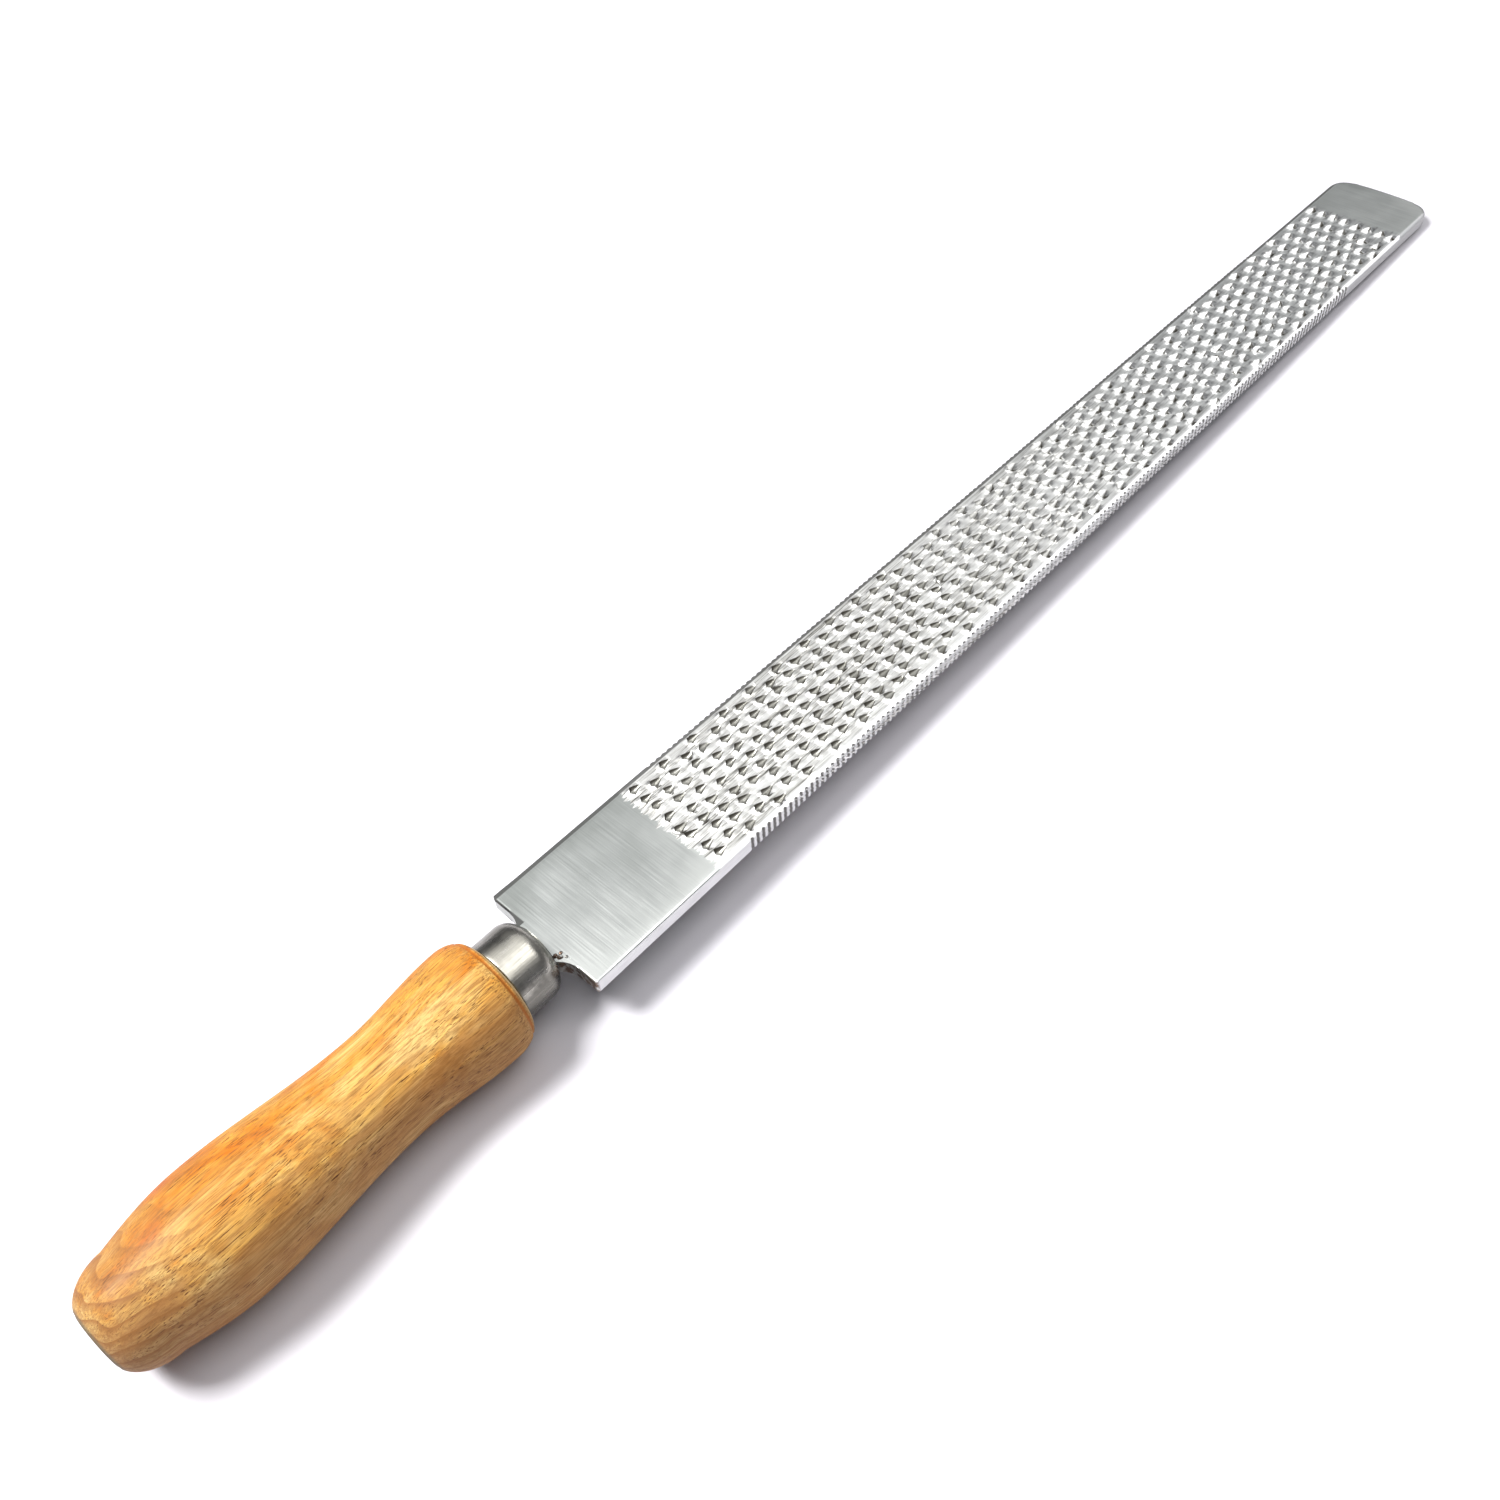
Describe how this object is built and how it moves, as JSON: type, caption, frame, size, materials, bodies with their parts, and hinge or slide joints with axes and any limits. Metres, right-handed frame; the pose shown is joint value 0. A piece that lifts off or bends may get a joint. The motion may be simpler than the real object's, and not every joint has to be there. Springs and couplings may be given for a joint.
{
  "type": "farrier rasp",
  "caption": "Flat steel hoof rasp with staggered punched teeth on one face, notched edges, a tang held in a turned wooden handle, and a steel ferrule.",
  "frame": {"origin": "middle of the overall length, on the tool's axis, which runs through the middle of the blade's thickness and the middle of the handle", "axes": "+X along the tool towards the tip, +Z out of the toothed face, +Y across the blade to the left when looking towards the tip"},
  "size_m": [0.4632, 0.032, 0.0282],
  "materials": {
    "blade_steel": "satin bare steel with fine lengthwise grinding marks",
    "ferrule_steel": "dull drawn steel with worn, scratched highlights",
    "handle_wood": "turned hardwood under honey-coloured lacquer"
  },
  "bodies": {
    "root": {"rasp_blade": "blade_steel", "ferrule": "ferrule_steel", "handle": "handle_wood"}
  },
  "joints": []
}
